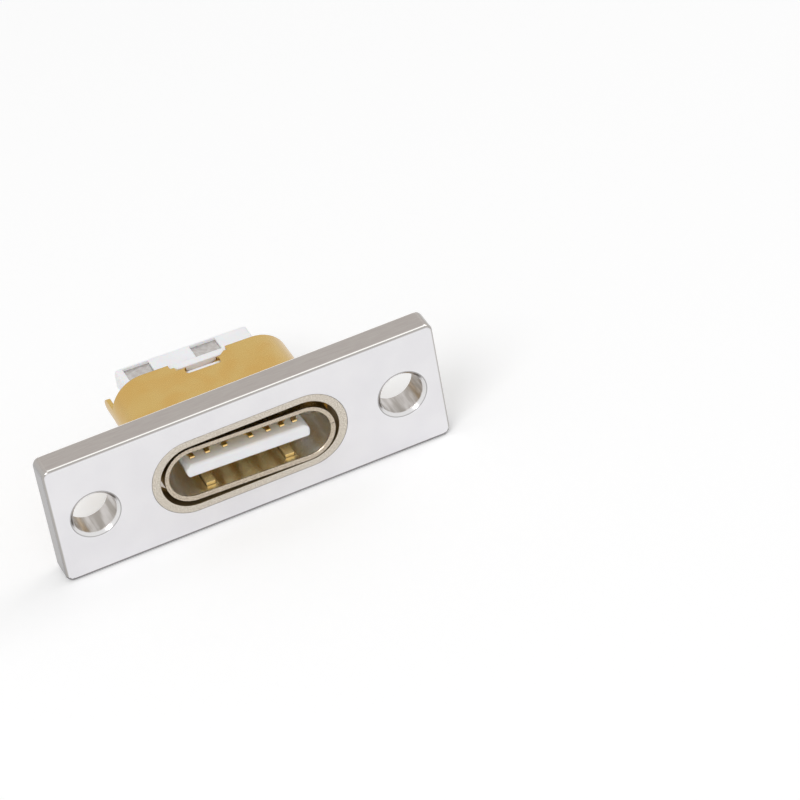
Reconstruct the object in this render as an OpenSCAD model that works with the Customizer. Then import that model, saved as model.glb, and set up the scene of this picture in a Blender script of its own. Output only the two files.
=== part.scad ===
// Panel-mount USB-C socket: a screw-fixed face plate with a collar pressed in
// its slot, a rolled plug shell, a drawn rear shell held to the plate by four
// flared tabs, and a moulded core whose flat contacts run out to solder pads.
//
// Frame: +X along the plate, the front face in the plane y = 0 facing -Y, +Z up,
// and the origin on the plug axis. All but the plate and its collar is one
// insert, which sits slightly turned about the plug axis.

/* [Face plate] */
// Length of the plate
plate_w = 20.2; // [19.8:0.1:26]
// Height of the plate
plate_h = 6.7; // [6.4:0.1:9]
// Thickness of the plate
plate_t = 1.5; // [1:0.1:2]
// Radius of the plate's four corners
plate_corner_r = 0.4; // [0.3:0.05:1]
// Rounding of the plate's front and back edges
plate_edge_r = 0.2; // [0.05:0.05:0.25]
// Distance between the two screw holes
hole_pitch = 16; // [15.8:0.1:17]
// Diameter of a screw hole
hole_d = 2.2; // [1.6:0.1:2.4]
// Width of the bevel round a hole on the front face
front_bevel = 0.15; // [0.05:0.05:0.2]
// Width of the bevel round a hole on the back face
back_bevel = 0.05; // [0.05:0.05:0.3]

/* [Collar] */
// Play between the plug shell and the collar, above and below
collar_gap = 0.2; // [0.15:0.01:0.3]
// Play between the plug shell and the collar at the round ends
collar_end_gap = 0.23; // [0.2:0.01:0.4]
// Wall of the collar, above and below
collar_wall = 0.35; // [0.2:0.05:0.5]
// Wall of the collar at the round ends
collar_end_wall = 0.42; // [0.2:0.02:0.6]
// Bevel on the collar's inner front edge
collar_bevel = 0.04; // [0.02:0.01:0.1]

/* [Plug shell] */
// Width of the plug opening
mouth_w = 8.34; // [8.3:0.01:10]
// Height of the plug opening
mouth_h = 2.56; // [2.5:0.01:2.7]
// Sheet thickness of the plug shell
plug_shell_t = 0.24; // [0.15:0.01:0.25]
// How far the plug shell stands proud of the plate
mouth_proud = 0.05; // [0:0.01:0.3]
// Rear edge of the plug shell
plug_shell_end = 5.2; // [4.9:0.1:5.3]
// Turn of the whole insert in its collar, clockwise from the front
insert_turn = 2.2; // [0:0.1:2.5]
// Width of the butt seam
seam_gap = 0.03; // [0.02:0.01:0.06]
// Height of the butt seam above the plug axis
seam_z = 0.12; // [-0.4:0.02:0.4]

/* [Grounding lances] */
// Width of a lance
lance_w = 0.45; // [0.3:0.05:0.8]
// Distance of a lance from the plug axis
lance_x = 2.05; // [1:0.05:2.4]
// Free end of a lance
lance_front = 0.4; // [0.2:0.05:1]
// Length of a lance
lance_l = 1.9; // [1:0.1:3]
// How far a lance stands into the plug opening
lance_rise = 0.19; // [0.05:0.01:0.25]

/* [Rear shell] */
// Sheet thickness of the rear shell
rear_shell_t = 0.2; // [0.15:0.01:0.25]
// Rear edge of the shell
rear_shell_end = 6.45; // [6.3:0.05:7]
// Width of the top and bottom tabs
tab_w = 7.4; // [5:0.1:8]
// Height of the tabs' outer edges above the plug axis
tab_reach = 2.95; // [2.7:0.05:3.05]
// Bend radius of the top and bottom tabs
tab_bend_r = 0.85; // [0.3:0.05:0.9]
// Distance between the tips of the side wings
wing_span = 13; // [11.5:0.1:13.2]
// Height of a side wing
wing_h = 1.9; // [1:0.1:2.2]
// Bend radius of the side wings
wing_bend_r = 1.4; // [0.6:0.05:1.5]
// Depth of the notch in a wing's tip
wing_nick = 0.2; // [0.05:0.05:0.4]
// How far a solder leg stands out behind the shell
leg_l = 1.15; // [0.5:0.05:2]
// Width of a solder leg
leg_w = 0.65; // [0.5:0.05:1.2]
// Width of the notch in the rear edge
notch_w = 3; // [2.4:0.1:3.6]
// Depth of the notch in the rear edge
notch_d = 0.32; // [0.1:0.02:0.5]
// Width of the staking slot
slot_w = 1.8; // [1.2:0.1:2]
// Length of the staking slot
slot_l = 0.5; // [0.3:0.05:0.6]
// Width of the bow of the staked bridge behind the slot
bridge_w = 2.6; // [2.2:0.1:2.8]
// Length of the staked bridge
bridge_l = 0.3; // [0.2:0.02:0.4]
// How far the bridge is pressed into the core
bridge_sag = 0.58; // [0.1:0.02:0.6]

/* [Core] */
// Width of the tongue
tongue_w = 6.4; // [6.3:0.02:6.9]
// Thickness of the tongue's plastic
tongue_t = 0.7; // [0.62:0.02:0.76]
// Corner radius of the tongue, seen from above
tongue_corner_r = 0.15; // [0.1:0.05:0.3]
// Front face of the tongue
tongue_front = 0.16; // [0.1:0.02:0.5]
// Front face of the thicker root of the tongue
root_front = 4.2; // [3.8:0.1:4.5]
// Width of the root of the tongue
root_w = 7.2; // [6.9:0.05:7.6]
// Thickness of the root of the tongue
root_t = 1.1; // [0.9:0.05:1.6]
// Rear face of the core's race-track flange
flange_end = 6.65; // [6.5:0.05:7]
// Width of the block that carries the solder pads
block_w = 7; // [6.9:0.05:7.4]
// Thickness of that block
block_t = 1.1; // [1:0.02:1.5]
// Rear face of that block
block_end = 9.05; // [8.6:0.05:10]

/* [Contacts] */
// Thickness of the contact strip
contact_t = 0.2; // [0.12:0.01:0.22]
// How far the contacts stand proud of the tongue
contact_proud = 0.07; // [0.04:0.01:0.1]
// Width of a contact blade
blade_w = 0.3; // [0.2:0.02:0.36]
// Pitch of the contact places
contact_pitch = 0.5; // [0.48:0.01:0.52]
// Width of a contact's front tip
tip_w = 0.24; // [0.14:0.02:0.26]
// Front end of the contact tips
tip_front = 0.74; // [0.6:0.02:1]
// Thickness of the steel plate inside the tongue
mid_plate_t = 0.16; // [0.1:0.02:0.2]
// Width of a solder pad
pad_w = 1.34; // [1.2:0.02:1.8]
// Front edge of the solder pads
pad_front = 7.15; // [6.9:0.05:7.4]
// Length of a solder pad
pad_l = 1.8; // [1:0.05:2]

/* [Hidden] */

$fn = 48;
// Clearance of a press fit, and of a part inside the moulding
fit = 0.01;
// Sliding clearance between the two shells
slide = 0.02;
// Overshoot of a cut past the face that it opens
over = 0.5;

// Contact places counted from the plug axis in half pitches, and where the
// sheared carrier left each tip beside its blade
contact_places = [-5.5, -3.5, -1.5, 0.5, 2.5, 4.5, 5.5];
tip_shifts = [0.1, -0.1, -0.2, 0.15, 0.05, -0.24, -0.08];
// Which contacts join into each terminal, and the middle of its pad
negative_blades = [0, 1];
positive_blades = [3, 4];
negative_pad_x = -2.43;
positive_pad_x = 1.1;

// The loop that every shell follows: two half turns joined by flats
mouth_flat = mouth_w - mouth_h;
plug_r0 = mouth_h / 2;
plug_r1 = plug_r0 + plug_shell_t;
rear_r0 = plug_r1 + slide;
rear_r1 = rear_r0 + rear_shell_t;

collar_bore_w = mouth_w + 2 * plug_shell_t + 2 * collar_end_gap;
collar_bore_h = mouth_h + 2 * plug_shell_t + 2 * collar_gap;
collar_w = collar_bore_w + 2 * collar_end_wall;
collar_h = collar_bore_h + 2 * collar_wall;

// Bends of the tabs and the wings, no larger than leaves them a flat on the
// plate, and where these bends end on the shell
least_flat = 0.3;
rear_half_w = mouth_flat / 2 + rear_r1;
tab_bend = min(tab_bend_r, tab_reach - rear_r1 - least_flat);
wing_bend = min(wing_bend_r, wing_span / 2 - rear_half_w - least_flat);
tab_root = plate_t + rear_shell_t + tab_bend;
wing_root = plate_t + rear_shell_t + wing_bend;
notch_front = rear_shell_end - notch_d;
bridge_front = notch_front - bridge_l;
slot_front = bridge_front - slot_l;
lance_slit = 0.04;

// Layers of the tongue, upwards from the plug axis
contact_top = tongue_t / 2 + contact_proud;
contact_z = contact_top - contact_t;
wafer_z = mid_plate_t / 2;
// Runs of the inner pieces along the plug axis
seat_front = 4.75;
comb_front = 4.9;
comb_end = 6.2;
comb_t = 1.5;
wafer_front = 0.6;
wafer_w = 5.9;
mid_plate_front = 0.5;
mid_plate_end = 6;
shoulder_front = 5.2;
neck_front = 1;
neck_end = 1.2;
tail_gap = 0.06;
// Latch notches in the sides of the tongue
latch_front = 1.4;
latch_l = 0.8;
latch_d = 0.35;

module race_track(w, h) {
    for (side = [-1, 1])
        translate([side * (w - h) / 2, 0])
            circle(d = h);
    square([w - h, h], center = true);
}

module round_rect(w, h, r) {
    square([w - 2 * r, h], center = true);
    square([w, h - 2 * r], center = true);
    for (sx = [-1, 1], sy = [-1, 1])
        translate([sx * (w / 2 - r), sy * (h / 2 - r)])
            circle(r);
}

// Extrudes an outline drawn in x and z from y0 to y1
module along_y(y0, y1)
    translate([0, y0, 0])
        rotate([-90, 0, 0])
            linear_extrude(y1 - y0)
                mirror([0, 1, 0])
                    children();

// Extrudes an outline drawn in y and z from x0 to x1
module along_x(x0, x1)
    translate([x0, 0, 0])
        rotate([90, 0, 90])
            linear_extrude(x1 - x0)
                children();

// Extrudes an outline drawn in x and y from z0 to z1
module along_z(z0, z1)
    translate([0, 0, z0])
        linear_extrude(z1 - z0)
            children();

// Sweeps a profile, drawn as distance from the loop's flats and place along y,
// round a loop of flats joined by quarter turns
module loop_sweep(flat_x, flat_z = 0)
    for (k = [0 : 3]) {
        run = k % 2 == 0 ? flat_x : flat_z;
        offset_z = k % 2 == 0 ? flat_z : flat_x;
        rotate([0, -90 * k, 0])
            translate([run / 2, 0, offset_z / 2]) {
                rotate([-90, 0, 0])
                    rotate([0, 0, -90])
                        rotate_extrude(angle = 90)
                            children();
                if (run > 0)
                    rotate([0, -90, 0])
                        linear_extrude(run)
                            children();
            }
    }

module insert()
    rotate([0, insert_turn, 0])
        children();

// The half turn that carries an upper piece to its lower twin
module lower()
    rotate([0, 180, 0])
        children();

// ---- face plate

// What a rounding takes off an edge whose corner is at the origin
module edge_waste(r)
    difference() {
        translate([-r, -over])
            square([r + over, r + over]);
        translate([-r, r])
            circle(r);
    }

module plate_edge_waste()
    loop_sweep(plate_w - 2 * plate_corner_r, plate_h - 2 * plate_corner_r)
        translate([plate_corner_r, 0])
            edge_waste(plate_edge_r);

module screw_hole() {
    along_y(-over, plate_t + over)
        circle(d = hole_d);
    rotate([-90, 0, 0])
        cylinder(h = front_bevel, r1 = hole_d / 2 + front_bevel, r2 = hole_d / 2);
    translate([0, plate_t, 0])
        rotate([90, 0, 0])
            cylinder(h = back_bevel, r1 = hole_d / 2 + back_bevel, r2 = hole_d / 2);
}

module face_plate()
    color("gainsboro")
        difference() {
            along_y(0, plate_t)
                round_rect(plate_w, plate_h, plate_corner_r);
            plate_edge_waste();
            translate([0, plate_t, 0])
                mirror([0, 1, 0])
                    plate_edge_waste();
            along_y(-over, plate_t + over)
                race_track(collar_w + 2 * slide, collar_h + 2 * slide);
            for (side = [-1, 1])
                translate([side * hole_pitch / 2, 0, 0])
                    screw_hole();
        }

// ---- collar in the plate's slot

module slot_collar()
    color("wheat")
        difference() {
            along_y(0, plate_t)
                race_track(collar_w, collar_h);
            along_y(-over, plate_t + over)
                race_track(collar_bore_w, collar_bore_h);
            loop_sweep(collar_bore_w - collar_bore_h)
                translate([collar_bore_h / 2 - collar_bevel, -collar_bevel])
                    polygon([[0, 0], [2 * collar_bevel, 0], [0, 2 * collar_bevel]]);
        }

// ---- plug shell

module plug_shell_wall()
    loop_sweep(mouth_flat)
        translate([0, -mouth_proud])
            polygon([[plug_r0 + collar_bevel, 0],
                     [plug_r1, 0],
                     [plug_r1, plug_shell_end + mouth_proud],
                     [plug_r0, plug_shell_end + mouth_proud],
                     [plug_r0, collar_bevel]]);

module lance_window()
    translate([-lance_w / 2 - lance_slit, lance_front - lance_slit, plug_r0 - over])
        cube([lance_w + 2 * lance_slit, lance_l + lance_slit, plug_shell_t + 2 * over]);

module lance() {
    root = lance_front + lance_l;
    knee = lance_front + lance_l / 4;
    tip_r0 = plug_r0 - lance_rise;
    tip_r1 = tip_r0 + plug_shell_t;
    along_x(-lance_w / 2, lance_w / 2)
        polygon([[lance_front, tip_r0], [knee, tip_r0], [root, plug_r0],
                 [root + lance_slit, plug_r0], [root + lance_slit, plug_r1],
                 [root, plug_r1], [knee, tip_r1], [lance_front, tip_r1]]);
}

// Places its children at the four lances, two in the floor and two in the roof
module at_lances()
    for (turn = [0, 180], side = [-1, 1])
        rotate([0, turn, 0])
            translate([side * lance_x, 0, 0])
                children();

module plug_shell()
    color("khaki")
        insert() {
            difference() {
                plug_shell_wall();
                at_lances()
                    lance_window();
                translate([mouth_flat / 2, -over, seam_z])
                    cube([mouth_h, plug_shell_end + 2 * over, seam_gap]);
            }
            at_lances()
                lance();
        }

// ---- rear shell

// Sheet that leaves the shell in a bend and lies flat against the plate
module flare_profile(bend_r, reach) {
    bend_x = rear_r1 + bend_r;
    bend_y = plate_t + rear_shell_t + bend_r;
    intersection() {
        translate([bend_x, bend_y])
            difference() {
                circle(bend_r + rear_shell_t);
                circle(bend_r);
            }
        translate([0, plate_t - over])
            square([bend_x, bend_r + rear_shell_t + over]);
    }
    translate([bend_x, plate_t])
        square([reach - bend_x, rear_shell_t]);
}

module rear_tube(y0, y1)
    loop_sweep(mouth_flat)
        translate([rear_r0, y0])
            square([rear_shell_t, y1 - y0]);

module plate_tabs()
    intersection() {
        union() {
            loop_sweep(mouth_flat)
                flare_profile(tab_bend, tab_reach);
            rear_tube(tab_root, wing_root + slide);
        }
        translate([-tab_w / 2, 0, -plate_h])
            cube([tab_w, rear_shell_end, 2 * plate_h]);
    }

module side_wings()
    difference() {
        intersection() {
            loop_sweep(mouth_flat)
                flare_profile(wing_bend, wing_span / 2);
            translate([-wing_span / 2, 0, -wing_h / 2])
                cube([wing_span, rear_shell_end, wing_h]);
        }
        for (turn = [0, 180])
            rotate([0, turn, 0])
                translate([wing_span / 2 - wing_nick, 0, 0])
                    along_y(0, plate_t + 2 * rear_shell_t)
                        polygon([[0, 0], [over, over], [over, -over]]);
    }

module solder_legs()
    intersection() {
        rear_tube(rear_shell_end - slide, rear_shell_end + leg_l);
        along_x(-mouth_w, mouth_w)
            translate([rear_shell_end, 0])
                race_track(2 * leg_l, leg_w);
    }

// The slot and notch that leave the bridge between them, seen from above
module stake_waste()
    along_z(0, mouth_h) {
        translate([0, slot_front + slot_l / 2])
            round_rect(slot_w, slot_l, slot_l / 4);
        translate([-bridge_w / 2, bridge_front])
            square([bridge_w, bridge_l + slide]);
        translate([0, notch_front + notch_d])
            round_rect(notch_w, 2 * notch_d, notch_d / 4);
    }

module stake_bridge() {
    half = bridge_w / 2;
    bow_r = (half * half + bridge_sag * bridge_sag) / (2 * bridge_sag);
    along_y(bridge_front, notch_front)
        intersection() {
            translate([0, rear_r1 - bridge_sag + bow_r])
                difference() {
                    circle(bow_r + rear_shell_t);
                    circle(bow_r);
                }
            translate([-half - slide, 0])
                square([bridge_w + 2 * slide, rear_r1]);
        }
}

module rear_shell()
    color("darkkhaki")
        insert() {
            difference() {
                union() {
                    rear_tube(wing_root, rear_shell_end);
                    plate_tabs();
                    side_wings();
                    solder_legs();
                }
                stake_waste();
                lower()
                    stake_waste();
            }
            stake_bridge();
            lower()
                stake_bridge();
        }

// ---- contacts

function blade_x(i) = contact_places[i] * contact_pitch;
function mean_x(blades) = (blade_x(blades[0]) + blade_x(blades[1])) / 2;

// One blade and its sheared tip, in plan, grown by a clearance all round
module blade_plan(i, end, grow = 0) {
    x = blade_x(i);
    tip_x = x + tip_shifts[i];
    blade = blade_w / 2 + grow;
    tip = tip_w / 2 + grow;
    translate([x - blade, neck_end])
        square([2 * blade, end - neck_end]);
    polygon([[tip_x - tip, tip_front - grow], [tip_x + tip, tip_front - grow],
             [tip_x + tip, neck_front], [x + blade, neck_end],
             [x - blade, neck_end], [tip_x - tip, neck_front]]);
}

// Two blades joined by a shoulder that runs out into the solder pad, in plan
module terminal_plan(blades, pad_x, grow = 0) {
    shoulder_w = blade_x(blades[1]) - blade_x(blades[0]) + blade_w + 2 * grow;
    for (i = blades)
        blade_plan(i, shoulder_front + slide, grow);
    translate([mean_x(blades) - shoulder_w / 2, shoulder_front - grow])
        square([shoulder_w, pad_front + slide - shoulder_front + grow]);
    translate([pad_x - pad_w / 2 - grow, pad_front - grow])
        square([pad_w + 2 * grow, pad_l + 2 * grow]);
}

// Gives the strip its thickness and rounds the top of its front end
module contact_strip(end)
    intersection() {
        along_z(contact_z, contact_top)
            children();
        along_x(-mouth_w, mouth_w)
            union() {
                translate([tip_front + contact_t / 2, contact_z])
                    square([end, contact_t]);
                translate([tip_front, contact_z])
                    square([contact_t, contact_t / 2]);
                translate([tip_front + contact_t / 2, contact_z + contact_t / 2])
                    circle(contact_t / 2);
            }
    }

module terminal(blades, pad_x)
    color("goldenrod")
        contact_strip(block_end)
            terminal_plan(blades, pad_x);

module lone_contact(i)
    color("goldenrod")
        contact_strip(block_end)
            blade_plan(i, comb_end - blade_w);

module upper_negative_terminal() insert() terminal(negative_blades, negative_pad_x);
module upper_positive_terminal() insert() terminal(positive_blades, positive_pad_x);
module upper_contact_3() insert() lone_contact(2);
module upper_contact_6() insert() lone_contact(5);
module upper_contact_7() insert() lone_contact(6);
module lower_negative_terminal() insert() lower() terminal(negative_blades, negative_pad_x);
module lower_positive_terminal() insert() lower() terminal(positive_blades, positive_pad_x);
module lower_contact_3() insert() lower() lone_contact(2);
module lower_contact_6() insert() lower() lone_contact(5);
module lower_contact_7() insert() lower() lone_contact(6);

// The room that the moulded pieces leave for the upper contacts
module contact_room(top)
    along_z(contact_z - fit, top) {
        terminal_plan(negative_blades, negative_pad_x, fit);
        terminal_plan(positive_blades, positive_pad_x, fit);
        for (i = [2, 5, 6])
            blade_plan(i, comb_end - blade_w + fit, fit);
    }

// ---- pieces inside the tongue

module latch_waste(extra = 0)
    for (side = [-1, 1])
        translate([side * tongue_w / 2, latch_front + latch_l / 2])
            square([2 * latch_d + 2 * extra, latch_l + 2 * extra], center = true);

module mid_plate_plan(grow = 0) {
    difference() {
        translate([-tongue_w / 2 - grow, mid_plate_front - grow])
            square([tongue_w + 2 * grow, root_front - mid_plate_front + 2 * grow]);
        latch_waste();
    }
    translate([-wafer_w / 2 - grow, root_front])
        square([wafer_w + 2 * grow, mid_plate_end - root_front + grow]);
}

module mid_plate()
    color("silver")
        insert()
            along_z(-mid_plate_t / 2, mid_plate_t / 2)
                mid_plate_plan();

// The wafer that the upper contacts are moulded on, with a comb over their roots
module wafer_block(grow = 0) {
    translate([-wafer_w / 2 - grow, wafer_front - grow, wafer_z + fit - grow])
        cube([wafer_w + 2 * grow, comb_end - wafer_front + 2 * grow,
              contact_z - wafer_z - 2 * fit + 2 * grow]);
    translate([-wafer_w / 2 - grow, comb_front - grow, wafer_z + fit - grow])
        cube([wafer_w + 2 * grow, comb_end - comb_front + 2 * grow,
              comb_t / 2 - wafer_z - fit + 2 * grow]);
}

module wafer()
    color("ivory")
        difference() {
            wafer_block();
            contact_room(contact_top + fit);
        }

module upper_wafer() insert() wafer();
module lower_wafer() insert() lower() wafer();

// ---- core moulding

module tongue_blank() {
    nose_r = tongue_t / 4;
    length = root_front - tongue_front + over;
    middle = tongue_front + length / 2;
    intersection() {
        along_z(-tongue_t, tongue_t)
            translate([0, middle])
                round_rect(tongue_w, length, tongue_corner_r);
        along_x(-tongue_w, tongue_w)
            translate([middle, 0])
                round_rect(length, tongue_t, nose_r);
        along_y(0, root_front + over)
            race_track(tongue_w, tongue_t);
    }
}

module core_blank() {
    tongue_blank();
    along_y(root_front, seat_front + over)
        round_rect(root_w, root_t, root_t / 4);
    loop_solid(plug_r0 - fit, seat_front, plug_shell_end + 2 * slide);
    loop_solid(rear_r0 - fit, plug_shell_end + slide, flange_end);
    along_y(flange_end - over, block_end)
        round_rect(block_w, block_t, block_t / 6);
}

module loop_solid(r, y0, y1)
    along_y(y0, y1)
        race_track(mouth_flat + 2 * r, 2 * r);

// What is left out of the upper half for the contacts, the wafer and the stake
module upper_waste() {
    contact_room(contact_top + fit);
    wafer_block(fit);
    along_z(contact_z, block_t)
        for (pad_x = [negative_pad_x, positive_pad_x])
            translate([pad_x, pad_front + pad_l / 2])
                square([pad_w + 2 * fit, pad_l + 2 * fit], center = true);
    translate([-bridge_w / 2 - tail_gap, bridge_front - tail_gap,
               rear_r1 - bridge_sag - rear_shell_t - tail_gap])
        cube([bridge_w + 2 * tail_gap, bridge_l + 2 * tail_gap, mouth_h]);
}

module core_moulding()
    color("white")
        insert()
            difference() {
                core_blank();
                upper_waste();
                lower()
                    upper_waste();
                along_z(-mid_plate_t / 2 - fit, mid_plate_t / 2 + fit)
                    mid_plate_plan(fit);
                along_z(-tongue_t, tongue_t)
                    latch_waste(tail_gap);
            }

face_plate();
slot_collar();
rear_shell();
plug_shell();
core_moulding();
mid_plate();
upper_wafer();
lower_wafer();
upper_negative_terminal();
upper_positive_terminal();
upper_contact_3();
upper_contact_6();
upper_contact_7();
lower_negative_terminal();
lower_positive_terminal();
lower_contact_3();
lower_contact_6();
lower_contact_7();
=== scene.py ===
"""Dresses and lights a panel-mount USB-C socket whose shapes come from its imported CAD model."""

import logging
from dataclasses import dataclass, field
from enum import Enum
from typing import Iterable

import bpy
from mathutils import Matrix, Vector


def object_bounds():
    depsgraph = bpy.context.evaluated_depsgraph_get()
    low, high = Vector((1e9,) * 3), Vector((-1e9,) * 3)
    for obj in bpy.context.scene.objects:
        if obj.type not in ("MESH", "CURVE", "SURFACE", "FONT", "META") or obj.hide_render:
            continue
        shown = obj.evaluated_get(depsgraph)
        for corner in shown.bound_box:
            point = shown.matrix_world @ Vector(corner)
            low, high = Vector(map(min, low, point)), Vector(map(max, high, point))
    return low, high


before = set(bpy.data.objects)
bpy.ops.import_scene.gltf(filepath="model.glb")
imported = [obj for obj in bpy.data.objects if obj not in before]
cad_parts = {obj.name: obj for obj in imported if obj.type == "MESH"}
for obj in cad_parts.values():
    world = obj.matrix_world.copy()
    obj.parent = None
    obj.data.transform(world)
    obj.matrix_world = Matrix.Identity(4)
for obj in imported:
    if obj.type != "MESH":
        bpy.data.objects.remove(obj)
CAD_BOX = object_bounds()

MM = 0.001
Colour = tuple[float, float, float]
Grain = tuple[float, float, float]

# The part of a noise's range that a ramp spreads over 0 to 1.
STRONG_CONTRAST = (0.35, 0.65)
MEDIUM_CONTRAST = (0.3, 0.7)
WEAK_CONTRAST = (0.2, 0.8)

log = logging.getLogger("socket")


class Face(Enum):
    """A direction that a flat face of the plate can look in."""

    FRONT_BACK = "Y"
    TOP_BOTTOM = "Z"
    ENDS = "X"


class Graph:
    """A thin wrapper that makes and links shader nodes."""

    FACING_FROM = 0.8
    FACING_FULL = 0.95
    EASE_SAMPLES = 4

    def __init__(self, name: str) -> None:
        """Starts an empty material.

        Args:
            name: The material's name.
        """
        self.material = bpy.data.materials.new(name)
        self.material.use_nodes = True
        self.tree = self.material.node_tree
        self.tree.nodes.clear()
        self.output = self.node("ShaderNodeOutputMaterial")
        self.shader = self.node("ShaderNodeBsdfPrincipled")
        self.link(self.shader.outputs["BSDF"], self.output.inputs["Surface"])
        self.coords = self.node("ShaderNodeTexCoord").outputs["Object"]

    def node(self, kind: str) -> bpy.types.Node:
        """Returns a new node of a kind."""
        return self.tree.nodes.new(kind)

    def link(self, source: bpy.types.NodeSocket, target: bpy.types.NodeSocket) -> None:
        """Links one socket to another."""
        self.tree.links.new(source, target)

    def feed(self, value: object, target: bpy.types.NodeSocket) -> None:
        """Links a socket, or sets a plain number, on a target socket.

        Args:
            value: A socket, a number or a colour with its alpha.
            target: The socket that takes it.
        """
        if isinstance(value, bpy.types.NodeSocket):
            self.link(value, target)
        else:
            target.default_value = value

    def math(self, operation: str, a: object, b: object = 0.0) -> bpy.types.NodeSocket:
        """Returns the result of a maths operation.

        Args:
            operation: The operation's name.
            a: The first value or socket.
            b: The second value or socket.

        Returns:
            The result's socket.
        """
        n = self.node("ShaderNodeMath")
        n.operation = operation
        self.feed(a, n.inputs[0])
        self.feed(b, n.inputs[1])
        return n.outputs[0]

    def axes(self, source: bpy.types.NodeSocket) -> tuple[bpy.types.NodeSocket, ...]:
        """Splits a vector.

        Args:
            source: The vector's socket.

        Returns:
            The sockets of its X, Y and Z.
        """
        n = self.node("ShaderNodeSeparateXYZ")
        self.link(source, n.inputs[0])
        return tuple(n.outputs)

    def normal(self) -> tuple[bpy.types.NodeSocket, ...]:
        """Returns the X, Y and Z of the surface's own normal."""
        return self.axes(self.node("ShaderNodeNewGeometry").outputs["True Normal"])

    def ramp(self, value: bpy.types.NodeSocket, low: float, high: float,
             out_low: float = 0.0, out_high: float = 1.0) -> bpy.types.NodeSocket:
        """Maps a value smoothly from one range to another.

        Args:
            value: What is mapped.
            low: Where the change starts.
            high: Where it ends.
            out_low: The result at the start.
            out_high: The result at the end.

        Returns:
            The mapped value's socket.
        """
        n = self.node("ShaderNodeMapRange")
        n.interpolation_type = "SMOOTHSTEP"
        self.link(value, n.inputs["Value"])
        for name, number in (("From Min", low), ("From Max", high),
                             ("To Min", out_low), ("To Max", out_high)):
            n.inputs[name].default_value = number
        return n.outputs["Result"]

    def fall(self, value: bpy.types.NodeSocket, low: float, high: float) -> bpy.types.NodeSocket:
        """Returns 1 below a lower limit and 0 above an upper one."""
        return self.ramp(value, low, high, 1.0, 0.0)

    def noise(self, per_mm: Grain, detail: float = 3.0) -> bpy.types.NodeSocket:
        """Returns noise with its own grain along each axis.

        Args:
            per_mm: How many features lie in a millimetre along X, Y and Z.
            detail: How many finer layers it has.

        Returns:
            The noise's value, from 0 to 1.
        """
        place = self.node("ShaderNodeMapping")
        place.inputs["Scale"].default_value = [n / MM for n in per_mm]
        self.link(self.coords, place.inputs["Vector"])
        n = self.node("ShaderNodeTexNoise")
        n.inputs["Scale"].default_value = 1.0
        n.inputs["Detail"].default_value = detail
        self.link(place.outputs[0], n.inputs["Vector"])
        return n.outputs[0]

    def mix(self, factor: object, a: object, b: object) -> bpy.types.NodeSocket:
        """Returns a mix of two colours.

        Args:
            factor: How much of the second there is.
            a: The first colour or socket.
            b: The second colour or socket.

        Returns:
            The mixed colour's socket.
        """
        n = self.node("ShaderNodeMix")
        n.data_type = "RGBA"
        self.feed(factor, n.inputs[0])
        for value, target in ((a, n.inputs[6]), (b, n.inputs[7])):
            self.feed((*value, 1.0) if isinstance(value, tuple) else value, target)
        return n.outputs[2]

    def facing(self, face: Face) -> bpy.types.NodeSocket:
        """Finds where the surface looks along an axis.

        Args:
            face: The direction.

        Returns:
            A socket that is 1 there and 0 elsewhere.
        """
        x, y, z = self.normal()
        along = {Face.ENDS: x, Face.FRONT_BACK: y, Face.TOP_BOTTOM: z}[face]
        return self.ramp(self.math("ABSOLUTE", along), self.FACING_FROM, self.FACING_FULL)

    def outward(self) -> bpy.types.NodeSocket:
        """Returns, in metres, how far a sleeve's wall looks away from the plug axis.

        Returns:
            The dot product of the normal with the place seen along the axis: above 0
            on an outer wall, below 0 on an inner one, and 0 on a cut edge.
        """
        nx, _, nz = self.normal()
        x, _, z = self.axes(self.coords)
        return self.math("ADD", self.math("MULTIPLY", nx, x), self.math("MULTIPLY", nz, z))

    def band(self, value: bpy.types.NodeSocket, low: float, high: float,
             blur: float) -> bpy.types.NodeSocket:
        """Returns 1 where a value lies between two limits, and 0 elsewhere.

        Args:
            value: What is tested.
            low: The lower limit.
            high: The upper limit.
            blur: How wide the change at each limit is.

        Returns:
            The band's socket.
        """
        return self.math("MULTIPLY", self.ramp(value, low, low + blur),
                         self.fall(value, high - blur, high))

    def relief(self, height: bpy.types.NodeSocket, depth_mm: float, edge_mm: float = 0.0) -> None:
        """Gives the surface a fine relief and eased edges.

        Args:
            height: The relief's height, from 0 to 1.
            depth_mm: How deep it is.
            edge_mm: The radius that sharp edges look eased to.
        """
        bump = self.node("ShaderNodeBump")
        bump.inputs["Distance"].default_value = depth_mm * MM
        self.link(height, bump.inputs["Height"])
        if edge_mm:
            ease = self.node("ShaderNodeBevel")
            ease.samples = self.EASE_SAMPLES
            ease.inputs["Radius"].default_value = edge_mm * MM
            self.link(ease.outputs[0], bump.inputs["Normal"])
        self.link(bump.outputs[0], self.shader.inputs["Normal"])

    def set(self, **values: object) -> None:
        """Sets plain values on the shader's own sockets, with _ for a space."""
        for name, value in values.items():
            self.feed(value, self.shader.inputs[name.replace("_", " ")])


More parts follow.
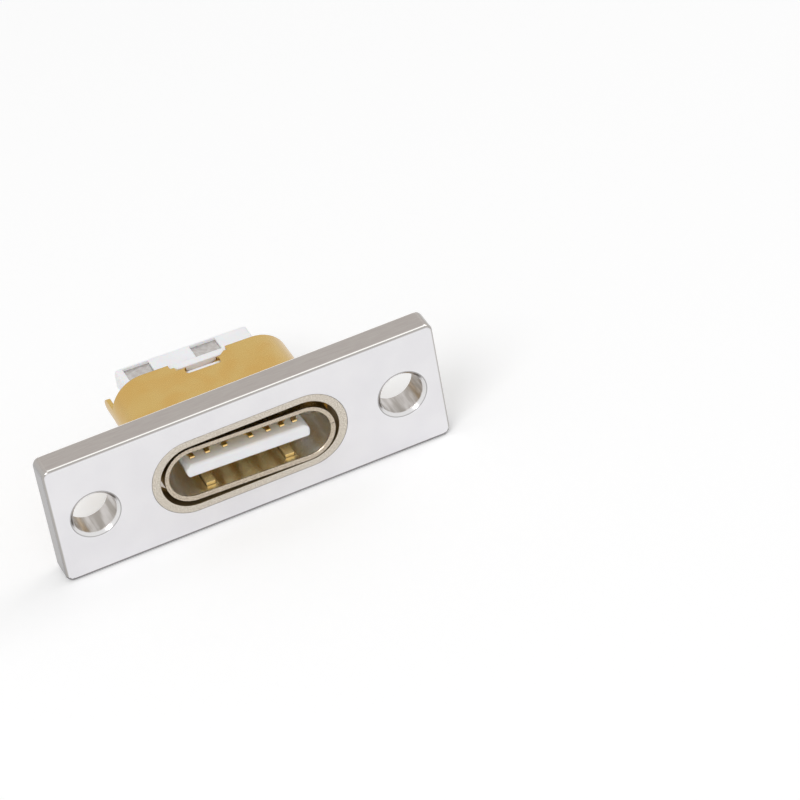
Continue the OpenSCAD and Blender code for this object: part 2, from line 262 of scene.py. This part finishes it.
@dataclass(frozen=True)
class NickelFinish:
    """Bright nickel, with lapped edges, turned screw holes, a painted highlight line and painted grey
    shade on the roundings.

    Lengths are in millimetres. The painted highlight and painted low shade limits are of the normal's
    upright part, and the straight ones of its part along the plate, so they have no unit.
    """

    name: str = "bright_nickel"
    face: Colour = (0.82, 0.81, 0.825)
    face_cloud: Colour = (0.79, 0.78, 0.80)
    lapped: Colour = (0.40, 0.36, 0.34)
    lapped_pale: Colour = (0.44, 0.41, 0.38)
    ground: Colour = (0.33, 0.32, 0.32)
    ground_pale: Colour = (0.43, 0.425, 0.425)
    # Painted shade: grey on the roundings, and darker on the lower roundings, standing in for darker
    # reflections there.
    rounding: Colour = (0.43, 0.41, 0.39)
    rounding_low_shade: Colour = (0.24, 0.23, 0.23)
    # Painted highlight: a near-white line on the upper roundings that stands in for a lamp's
    # reflection.
    painted_highlight: Colour = (0.98, 0.96, 0.93)
    bevel: Colour = (0.74, 0.73, 0.73)
    bevel_line: Colour = (0.40, 0.39, 0.39)
    bore: Colour = (0.38, 0.35, 0.32)
    bore_pale: Colour = (0.62, 0.59, 0.57)
    hole_x: float = 8.0
    hole_r: float = 1.1
    hole_margin: float = 0.01
    hole_blur: float = 0.02
    bevel_r: float = 1.25
    bevel_blur: float = 0.03
    line_inset: float = 0.01
    line_width: float = 0.07
    line_blur: float = 0.02
    # Limits of the painted highlight band, in the normal's upright part.
    painted_highlight_from: float = 0.84
    painted_highlight_to: float = 0.985
    painted_highlight_blur: float = 0.02
    # Limits of the painted shade band on the lower roundings, in the normal's upright part.
    low_from: float = -0.97
    low_to: float = -0.12
    low_blur: float = 0.03
    straight_full: float = 0.1
    straight_to: float = 0.25
    grain_per_mm: Grain = (1.3, 22.0, 22.0)
    turned_per_mm: Grain = (3.0, 0.4, 3.0)
    cloud_per_mm: Grain = (0.5, 0.5, 0.5)
    depth_mm: float = 0.012
    polished: float = 0.16
    worked: float = 0.34

    def build(self) -> bpy.types.Material:
        """Builds the finish.

        Returns:
            The material.
        """
        g = Graph(self.name)
        x, _, z = g.axes(g.coords)
        off = g.math("SUBTRACT", g.math("ABSOLUTE", x), self.hole_x * MM)
        radius = g.math("SQRT", g.math("ADD", g.math("MULTIPLY", off, off), g.math("MULTIPLY", z, z)))
        bore_end = self.hole_r + self.hole_margin
        in_bore = g.fall(radius, bore_end * MM, (bore_end + self.hole_blur) * MM)
        in_bevel = g.fall(radius, self.bevel_r * MM, (self.bevel_r + self.bevel_blur) * MM)
        top, end, front = (g.facing(face) for face in (Face.TOP_BOTTOM, Face.ENDS, Face.FRONT_BACK))
        nx, _, nz = g.normal()
        straight = g.fall(g.math("ABSOLUTE", nx), self.straight_full, self.straight_to)
        # Painted shade band: where a rounding's normal leans downward.
        low = g.band(nz, self.low_from, self.low_to, self.low_blur)
        line_start = self.bevel_r - self.line_inset
        line = g.band(radius, line_start * MM, (line_start + self.line_width) * MM, self.line_blur * MM)
        # Painted highlight band: where a rounding's normal leans mostly upward.
        painted_highlight_band = g.band(nz, self.painted_highlight_from, self.painted_highlight_to, self.painted_highlight_blur)
        edge = g.math("MAXIMUM", top, end)
        grain = g.noise(self.grain_per_mm, detail=4.0)
        turned = g.ramp(g.noise(self.turned_per_mm), *STRONG_CONTRAST)
        cloud = g.noise(self.cloud_per_mm, detail=2.0)
        streak = g.ramp(grain, *MEDIUM_CONTRAST)
        clouded = g.mix(g.ramp(cloud, *MEDIUM_CONTRAST), self.face, self.face_cloud)
        # Surfaces that face neither front, top nor ends, the roundings, get the painted grey shade.
        colour = g.mix(front, self.rounding, clouded)
        colour = g.mix(top, colour, g.mix(streak, self.lapped, self.lapped_pale))
        colour = g.mix(end, colour, g.mix(streak, self.ground, self.ground_pale))
        # Paints the highlight line onto the straight upper roundings.
        colour = g.mix(g.math("MULTIPLY", painted_highlight_band, straight), colour, self.painted_highlight)
        # Paints the darker shade onto the lower roundings.
        colour = g.mix(low, colour, self.rounding_low_shade)
        colour = g.mix(in_bevel, colour, self.bevel)
        colour = g.mix(line, colour, self.bevel_line)
        colour = g.mix(in_bore, colour, g.mix(turned, self.bore, self.bore_pale))
        marks = g.math("MAXIMUM", edge, in_bore)
        g.set(Base_Color=colour, Metallic=1.0,
              Roughness=g.ramp(marks, 0.0, 1.0, self.polished, self.worked))
        height = g.math("ADD", g.math("MULTIPLY", grain, top), g.math("MULTIPLY", turned, in_bore))
        g.relief(height, self.depth_mm)
        return g.material


@dataclass(frozen=True)
class SatinMetalFinish:
    """Plated sheet with a fine sparkle, eased edges and slow changes of tint."""

    name: str
    colour: Colour
    tint: Colour
    roughness: float = 0.2
    least_share: float = 0.7
    most_share: float = 1.4
    tint_per_mm: Grain = (0.6, 0.6, 0.6)
    sparkle_per_mm: Grain = (30.0, 30.0, 30.0)
    depth_mm: float = 0.003
    edge_mm: float = 0.04

    def build(self) -> bpy.types.Material:
        """Builds the finish.

        Returns:
            The material.
        """
        g = Graph(self.name)
        slow = g.noise(self.tint_per_mm, detail=2.0)
        fine = g.noise(self.sparkle_per_mm, detail=2.0)
        smooth, rough = self.roughness * self.least_share, self.roughness * self.most_share
        g.set(Base_Color=g.mix(g.ramp(slow, *STRONG_CONTRAST), self.colour, self.tint), Metallic=1.0,
              Roughness=g.ramp(fine, *WEAK_CONTRAST, smooth, rough))
        g.relief(fine, self.depth_mm, self.edge_mm)
        return g.material


@dataclass(frozen=True)
class CollarFinish:
    """Warm blasted metal with a fine sparkle, and a darker, duller bore.

    The bore is where Graph.outward, here in millimetres, goes from bore_from to bore_full.
    """

    name: str = "warm_collar"
    face: Colour = (0.50, 0.445, 0.365)
    face_pale: Colour = (0.75, 0.695, 0.615)
    bore: Colour = (0.46, 0.36, 0.20)
    bore_from: float = -0.5
    bore_full: float = -0.8
    sparkle_per_mm: Grain = (16.0, 16.0, 16.0)
    blasted: float = 0.3
    dull: float = 0.5
    depth_mm: float = 0.006
    edge_mm: float = 0.04

    def build(self) -> bpy.types.Material:
        """Builds the finish.

        Returns:
            The material.
        """
        g = Graph(self.name)
        in_bore = g.fall(g.outward(), self.bore_full * MM, self.bore_from * MM)
        fine = g.noise(self.sparkle_per_mm)
        colour = g.mix(g.ramp(fine, *STRONG_CONTRAST), self.face, self.face_pale)
        g.set(Base_Color=g.mix(in_bore, colour, self.bore), Metallic=1.0,
              Roughness=g.ramp(in_bore, 0.0, 1.0, self.blasted, self.dull))
        g.relief(fine, self.depth_mm, self.edge_mm)
        return g.material


@dataclass(frozen=True)
class PlugShellFinish:
    """Drawn sheet: a cut rim, a golden inside with a painted pale reflection towards its ends, gilded
    lances.

    Lengths are in millimetres. The outside is where Graph.outward, here in millimetres
    too, goes from outer_from to outer_full.
    """

    name: str = "plug_shell_gold"
    rim: Colour = (0.43, 0.36, 0.28)
    rim_pale: Colour = (0.66, 0.58, 0.47)
    inside: Colour = (0.88, 0.70, 0.40)
    inside_pale: Colour = (1.00, 0.90, 0.62)
    # Painted reflection: a near-white tint on the inside towards its ends.
    painted_pale_reflection: Colour = (1.00, 0.96, 0.90)
    pale_reflection_from: float = 2.5
    pale_reflection_full: float = 3.2
    outside: Colour = (0.62, 0.50, 0.27)
    outer_from: float = 0.5
    outer_full: float = 0.8
    lance: Colour = (0.80, 0.63, 0.31)
    lance_metallic: float = 0.6
    lance_x: float = 2.05
    lance_half: float = 0.27
    lance_side_blur: float = 0.04
    lance_front: float = 0.2
    lance_front_blur: float = 0.1
    lance_end: float = 2.3
    lance_end_blur: float = 0.2
    rim_end: float = 0.02
    rim_blur: float = 0.06
    streak_per_mm: Grain = (3.0, 0.7, 3.0)
    sparkle_per_mm: Grain = (30.0, 30.0, 30.0)
    smooth: float = 0.18
    rough: float = 0.34
    depth_mm: float = 0.003
    edge_mm: float = 0.03

    def build(self) -> bpy.types.Material:
        """Builds the finish.

        Returns:
            The material.
        """
        g = Graph(self.name)
        x, y, _ = g.axes(g.coords)
        from_lance = g.math("ABSOLUTE", g.math("SUBTRACT", g.math("ABSOLUTE", x), self.lance_x * MM))
        beside = g.fall(from_lance, self.lance_half * MM, (self.lance_half + self.lance_side_blur) * MM)
        along = g.fall(y, self.lance_end * MM, (self.lance_end + self.lance_end_blur) * MM)
        behind_rim = g.ramp(y, self.lance_front * MM, (self.lance_front + self.lance_front_blur) * MM)
        on_lance = g.math("MULTIPLY", g.math("MULTIPLY", beside, along), behind_rim)
        on_rim = g.fall(y, self.rim_end * MM, (self.rim_end + self.rim_blur) * MM)
        streak = g.noise(self.streak_per_mm)
        fine = g.noise(self.sparkle_per_mm, detail=2.0)
        colour = g.mix(g.ramp(streak, *STRONG_CONTRAST), self.inside, self.inside_pale)
        # Mask of the painted pale reflection, which grows towards the ends of the inside.
        pale_reflection_mask = g.ramp(g.math("ABSOLUTE", x), self.pale_reflection_from * MM, self.pale_reflection_full * MM)
        colour = g.mix(pale_reflection_mask, colour, self.painted_pale_reflection)
        colour = g.mix(on_lance, colour, self.lance)
        on_outside = g.ramp(g.outward(), self.outer_from * MM, self.outer_full * MM)
        colour = g.mix(on_outside, colour, self.outside)
        cut = g.mix(g.ramp(fine, *STRONG_CONTRAST), self.rim, self.rim_pale)
        g.set(Base_Color=g.mix(on_rim, colour, cut),
              Metallic=g.ramp(on_lance, 0.0, 1.0, 1.0, self.lance_metallic),
              Roughness=g.ramp(fine, *WEAK_CONTRAST, self.smooth, self.rough))
        g.relief(fine, self.depth_mm, self.edge_mm)
        return g.material


@dataclass(frozen=True)
class MouldedFinish:
    """White engineering plastic with a faint moulded texture."""

    name: str
    colour: Colour
    shade: Colour
    roughness: float = 0.42
    smoother_by: float = 0.06
    rougher_by: float = 0.08
    milky: float = 0.15
    milky_mm: float = 0.3
    skin_per_mm: Grain = (14.0, 14.0, 14.0)
    shade_per_mm: Grain = (0.8, 0.8, 0.8)
    depth_mm: float = 0.004
    edge_mm: float = 0.05

    def build(self) -> bpy.types.Material:
        """Builds the finish.

        Returns:
            The material.
        """
        g = Graph(self.name)
        skin = g.noise(self.skin_per_mm)
        slow = g.noise(self.shade_per_mm, detail=2.0)
        smooth, rough = self.roughness - self.smoother_by, self.roughness + self.rougher_by
        g.set(Base_Color=g.mix(g.ramp(slow, *MEDIUM_CONTRAST), self.colour, self.shade),
              Roughness=g.ramp(skin, *WEAK_CONTRAST, smooth, rough),
              Subsurface_Weight=self.milky, Subsurface_Scale=self.milky_mm * MM)
        g.relief(skin, self.depth_mm, self.edge_mm)
        return g.material


@dataclass(frozen=True)
class ContactFinish:
    """Gold plate on the blades, which gives way to tin on the solder pads.

    Lengths are in millimetres.
    """

    name: str = "contact_gold_and_tin"
    gold: Colour = (1.00, 0.74, 0.36)
    tin: Colour = (0.48, 0.45, 0.43)
    tin_pale: Colour = (0.58, 0.56, 0.54)
    pad_front: float = 7.0
    pad_blur: float = 0.1
    ripple_per_mm: Grain = (5.0, 5.0, 5.0)
    plated: float = 0.18
    tinned: float = 0.36
    depth_mm: float = 0.03
    edge_mm: float = 0.02

    def build(self) -> bpy.types.Material:
        """Builds the finish.

        Returns:
            The material.
        """
        g = Graph(self.name)
        _, y, _ = g.axes(g.coords)
        on_pad = g.ramp(y, (self.pad_front - self.pad_blur) * MM, self.pad_front * MM)
        ripple = g.noise(self.ripple_per_mm)
        tin = g.mix(g.ramp(ripple, *STRONG_CONTRAST), self.tin, self.tin_pale)
        g.set(Base_Color=g.mix(on_pad, self.gold, tin), Metallic=1.0,
              Roughness=g.ramp(on_pad, 0.0, 1.0, self.plated, self.tinned))
        g.relief(g.math("MULTIPLY", ripple, on_pad), self.depth_mm, self.edge_mm)
        return g.material


Finish = (NickelFinish | SatinMetalFinish | CollarFinish | PlugShellFinish | MouldedFinish
          | ContactFinish)


@dataclass
class SubAssembly:
    """CAD pieces that share one finish."""

    title: str
    nodes: tuple[str, ...]
    finish: Finish

    def dress(self) -> None:
        """Gives every piece of the group its finish."""
        material = self.finish.build()
        for name in self.nodes:
            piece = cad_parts[name]
            piece.data.materials.clear()
            piece.data.materials.append(material)
            log.info("%s: %s is dressed as %s", self.title, name, material.name)


def contact_names() -> tuple[str, ...]:
    """Returns the names of all contacts and terminals."""
    ends = ("negative_terminal", "positive_terminal", "contact_3", "contact_6", "contact_7")
    return tuple(f"{side}_{end}" for side in ("upper", "lower") for end in ends)


def sub_assemblies() -> Iterable[SubAssembly]:
    """Lists the groups of pieces.

    Returns:
        The groups, in the order that they are dressed.
    """
    return (
        SubAssembly("plate", ("face_plate",), NickelFinish()),
        SubAssembly("collar", ("slot_collar",), CollarFinish()),
        SubAssembly("rear shell", ("rear_shell",), SatinMetalFinish(
            "rear_shell_gold", colour=(0.59, 0.37, 0.11), tint=(0.60, 0.41, 0.14),
            roughness=0.22, edge_mm=0.05)),
        SubAssembly("plug shell", ("plug_shell",), PlugShellFinish()),
        SubAssembly("core", ("core_moulding",), MouldedFinish(
            "white_core", colour=(0.93, 0.93, 0.95), shade=(0.90, 0.90, 0.92))),
        SubAssembly("wafers", ("upper_wafer", "lower_wafer"), MouldedFinish(
            "wafer_plastic", colour=(0.86, 0.85, 0.81), shade=(0.83, 0.82, 0.78))),
        SubAssembly("mid plate", ("mid_plate",), SatinMetalFinish(
            "rolled_steel", colour=(0.68, 0.68, 0.70), tint=(0.74, 0.74, 0.76), roughness=0.3)),
        SubAssembly("contacts", contact_names(), ContactFinish()),
    )


@dataclass
class Studio:
    """The floor, the light and the camera.

    Lengths are in metres, except for the lens and the sensor, which are in millimetres.
    A lamp is its place, the side of its square face and its power in watts.
    """

    floor_half: float = 1.5
    floor_colour: Colour = (0.93, 0.93, 0.93)
    floor_glow: float = 0.16
    floor_gloss_glow: float = 0.15
    room_level: float = 0.62
    lamps: tuple[tuple[Vector, float, float], ...] = field(default_factory=lambda: (
        (Vector((-0.16, -0.16, 0.26)), 0.16, 0.34),
        (Vector((0.22, 0.06, 0.24)), 0.14, 0.12),
    ))
    eye: Vector = field(default_factory=lambda: Vector((-43.5262, -166.3055, 132.4742)) * MM)
    look: Vector = field(default_factory=lambda: Vector((0.23459, 0.75975, -0.60642)))
    up: Vector = field(default_factory=lambda: Vector((0.35362, 0.51439, 0.78125)))
    lens: float = 204.85
    sensor: float = 36.0
    near: float = 0.001

    def floor(self) -> None:
        """Lays a white floor under the plate's lower edge."""
        low = Vector(CAD_BOX[0])
        bpy.ops.mesh.primitive_plane_add(size=2 * self.floor_half, location=(0, 0, low.z))
        plane = bpy.context.object
        plane.name = "floor"
        g = Graph("white_floor")
        g.set(Base_Color=(*self.floor_colour, 1.0), Roughness=0.9, Specular_IOR_Level=0.1)
        glow = g.node("ShaderNodeEmission")
        path = g.node("ShaderNodeLightPath")
        to_eye = g.math("MULTIPLY", path.outputs["Is Camera Ray"], self.floor_glow)
        to_metal = g.math("MULTIPLY", path.outputs["Is Glossy Ray"], self.floor_gloss_glow)
        g.link(g.math("ADD", to_eye, to_metal), glow.inputs["Strength"])
        both = g.node("ShaderNodeAddShader")
        g.link(g.shader.outputs[0], both.inputs[0])
        g.link(glow.outputs[0], both.inputs[1])
        g.link(both.outputs[0], g.output.inputs["Surface"])
        plane.data.materials.append(g.material)

    def sky(self) -> None:
        """Makes a room that is white to the eye and in metal, and gives a plain soft light."""
        world = bpy.data.worlds.new("room")
        bpy.context.scene.world = world
        world.use_nodes = True
        tree = world.node_tree
        back = tree.nodes["Background"]
        path = tree.nodes.new("ShaderNodeLightPath")
        level = tree.nodes.new("ShaderNodeMapRange")
        level.inputs["To Min"].default_value = self.room_level
        level.inputs["To Max"].default_value = 1.0
        shown = path.outputs["Is Camera Ray"]
        for ray in ("Is Glossy Ray", "Is Transmission Ray"):
            either = tree.nodes.new("ShaderNodeMath")
            either.operation = "MAXIMUM"
            tree.links.new(shown, either.inputs[0])
            tree.links.new(path.outputs[ray], either.inputs[1])
            shown = either.outputs[0]
        tree.links.new(shown, level.inputs["Value"])
        tree.links.new(level.outputs[0], back.inputs["Strength"])
        back.inputs["Color"].default_value = (1, 1, 1, 1)

    def lamp(self, place: Vector, size: float, power: float) -> None:
        """Hangs one soft lamp that points at the socket.

        Args:
            place: Where it hangs, in metres.
            size: The side of its square face, in metres.
            power: Its power in watts.
        """
        data = bpy.data.lights.new("soft_lamp", "AREA")
        data.size = size
        data.energy = power
        lamp = bpy.data.objects.new("soft_lamp", data)
        lamp.location = place
        lamp.rotation_euler = (-place).to_track_quat("-Z", "Y").to_euler()
        bpy.context.scene.collection.objects.link(lamp)

    def camera(self) -> None:
        """Places the camera."""
        back = -self.look.normalized()
        right = self.up.cross(back).normalized()
        upward = back.cross(right)
        turn = Matrix((right, upward, back)).transposed().to_4x4()
        data = bpy.data.cameras.new("camera")
        data.lens = self.lens
        data.sensor_width = self.sensor
        data.clip_start = self.near
        camera = bpy.data.objects.new("camera", data)
        camera.matrix_world = Matrix.Translation(self.eye) @ turn
        bpy.context.scene.collection.objects.link(camera)
        bpy.context.scene.camera = camera

    def build(self) -> None:
        """Builds the floor, the room, the lamps and the camera."""
        self.floor()
        self.sky()
        for place, size, power in self.lamps:
            self.lamp(place, size, power)
        self.camera()
        bpy.context.scene.view_settings.view_transform = "Standard"


def main() -> None:
    """Dresses every piece and builds the studio."""
    logging.basicConfig(level=logging.INFO, format="%(message)s")
    for group in sub_assemblies():
        group.dress()
    Studio().build()


if __name__ == "__main__":
    main()
